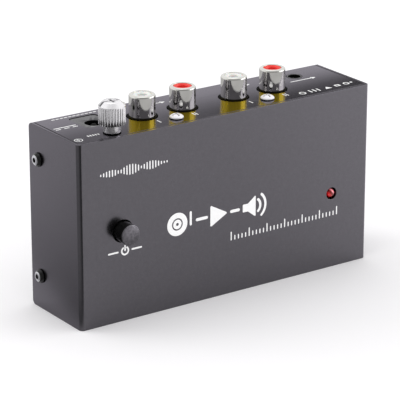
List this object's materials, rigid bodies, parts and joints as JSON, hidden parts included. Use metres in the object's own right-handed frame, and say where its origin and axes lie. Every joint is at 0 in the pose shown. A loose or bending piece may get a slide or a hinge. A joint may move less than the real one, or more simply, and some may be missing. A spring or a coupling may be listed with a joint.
{
  "type": "phono preamp",
  "caption": "Small folded-steel phono preamp with paired phono sockets, a knurled ground terminal, a barrel power jack, a small jack, a push power button and a lamp.",
  "frame": {"origin": "middle of the narrow standing face, on the surface that the case stands on", "axes": "+Z out of the connector panel, -Y out of the labelled face, +Y out of the base with its feet, X along the length with the ground terminal and button at -X"},
  "size_m": [0.113, 0.0351, 0.0695],
  "materials": {
    "cover_coat": "anthracite fine-sand powder coat",
    "panel_coat": "anthracite powder coat, smoother",
    "black_steel": "black oxide, semi-gloss",
    "foot_rubber": "matte black rubber",
    "board_laminate": "green solder resist",
    "plated_steel": "zinc plated",
    "black_moulding": "black moulding",
    "nickel": "bright nickel plate",
    "white_insert": "glossy white",
    "red_insert": "glossy red",
    "contact_brass": "spring brass",
    "bright_screw": "bright nickel plate",
    "jack_moulding": "black moulding, satin",
    "knob_nickel": "satin nickel plate",
    "wire_green": "insulated wire",
    "button_plastic": "matte, fine grain",
    "stem_plastic": "white nylon",
    "switch_plastic": "blue moulding",
    "tinned_lead": "tinned",
    "lamp_red": "diffused red epoxy",
    "capacitor_sleeve": "shrink sleeve",
    "film_red": "red epoxy",
    "chip_epoxy": "moulded epoxy",
    "resistor_lacquer": "blue lacquer"
  },
  "bodies": {
    "case": {"cover": "cover_coat", "chassis": "panel_coat", "side_screws": "black_steel", "rubber_feet": "foot_rubber", "circuit_board": "board_laminate", "standoffs": "plated_steel", "board_screws": "plated_steel", "input_socket_block": "black_moulding", "output_socket_block": "black_moulding", "shell_input_left": "nickel", "shell_input_right": "nickel", "shell_output_left": "nickel", "shell_output_right": "nickel", "insert_input_left": "white_insert", "insert_input_right": "red_insert", "insert_output_left": "white_insert", "insert_output_right": "red_insert", "contact_input_left": "contact_brass", "contact_input_right": "contact_brass", "contact_output_left": "contact_brass", "contact_output_right": "contact_brass", "socket_screws": "bright_screw", "power_jack_body": "jack_moulding", "power_jack_pin": "bright_screw", "power_jack_spring": "contact_brass", "small_jack_body": "jack_moulding", "small_jack_contacts": "contact_brass", "ground_tag": "plated_steel", "ground_nut": "plated_steel", "ground_wire": "wire_green", "switch_body": "switch_plastic", "switch_spring": "plated_steel", "switch_pins": "tinned_lead", "lamp_lens": "lamp_red", "lamp_leads": "tinned_lead", "lamp_spacer": "black_moulding", "supply_capacitors": "capacitor_sleeve", "coupling_capacitors": "capacitor_sleeve", "film_capacitors": "film_red", "input_chip": "chip_epoxy", "output_chip": "chip_epoxy", "resistors": "resistor_lacquer", "diodes": "chip_epoxy", "voltage_regulator": "chip_epoxy"},
    "ground_clamp": {"ground_washer": "black_moulding"},
    "ground_knob": {"ground_screw": "knob_nickel"},
    "button": {"power_button": "button_plastic", "switch_stem": "stem_plastic"}
  },
  "joints": [
    {"name": "ground_lift", "type": "slide", "parent": "case", "child": "ground_clamp", "axis": [0, 0, 1], "range_m": [0, 0.002]},
    {"name": "ground_turn", "type": "hinge", "parent": "ground_clamp", "child": "ground_knob", "pos_m": [-0.0397, -0.0091, 0.0595], "axis": [0, 0, 1], "range_deg": [0, 1440]},
    {"name": "power_press", "type": "slide", "parent": "case", "child": "button", "axis": [0, 1, 0], "range_m": [0, 0.0022], "stiffness_N_per_m": 500, "springref_m": -0.002, "deforming": ["switch_spring"]}
  ],
  "couplings": [
    {"joint": "ground_turn", "follows": "ground_lift", "rad_per_m": 12566}
  ]
}
